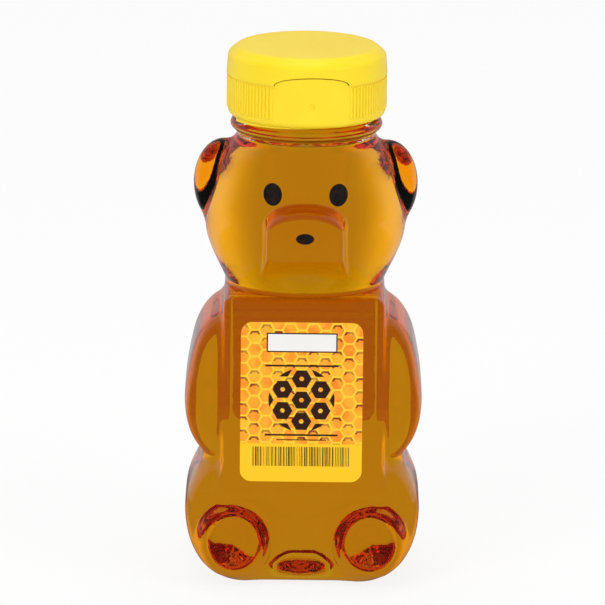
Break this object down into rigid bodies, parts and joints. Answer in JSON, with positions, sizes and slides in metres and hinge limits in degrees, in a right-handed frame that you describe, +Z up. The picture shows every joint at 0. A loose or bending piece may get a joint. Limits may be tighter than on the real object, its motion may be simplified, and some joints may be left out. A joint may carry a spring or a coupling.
{
  "type": "honey bear bottle",
  "caption": "Squeezable bear-shaped bottle filled with honey, with printed face, labels and a ribbed flip-top screw closure.",
  "frame": {"origin": "on the plane the bear stands on, under the middle of the whole bear from the nose to the back of the head", "axes": "+Z up along the neck; the bear looks along -Y; +X is the bear's left"},
  "size_m": [0.0616, 0.0572, 0.1402],
  "materials": {
    "clear_shell": "clear blow-moulded polyester, glossy",
    "honey": "clear amber honey",
    "front_print": "printed label with a yellow and orange honeycomb",
    "label_paper": "plain paper label",
    "black_ink": "printed black ink",
    "yellow_plastic": "moulded yellow polypropylene",
    "white_foam": "white foam seal"
  },
  "bodies": {
    "bear": {"bottle": "clear_shell", "honey": "honey", "front_label": "front_print", "back_label": "label_paper", "left_eye": "black_ink", "right_eye": "black_ink", "nose": "black_ink"},
    "seal": {"seal_disc": "white_foam"},
    "closure": {"closure_base": "yellow_plastic", "living_hinge": "yellow_plastic"},
    "lid": {"flip_lid": "yellow_plastic"}
  },
  "joints": [
    {"name": "closure_lift", "type": "slide", "parent": "bear", "child": "seal", "axis": [0, 0, 1], "range_m": [0, 0.01269]},
    {"name": "closure_turn", "type": "hinge", "parent": "seal", "child": "closure", "pos_m": [0, 0.00237, 0.125], "axis": [0, 0, 1], "range_deg": [0, 1080]},
    {"name": "lid_flip", "type": "hinge", "parent": "closure", "child": "lid", "pos_m": [-0.00132, 0.02225, 0.1331], "axis": [-0.9978, -0.0663, 0], "range_deg": [0, 130], "deforming": ["living_hinge"]}
  ],
  "couplings": [
    {"joint": "closure_lift", "follows": "closure_turn", "m_per_rad": 0.00067322}
  ]
}
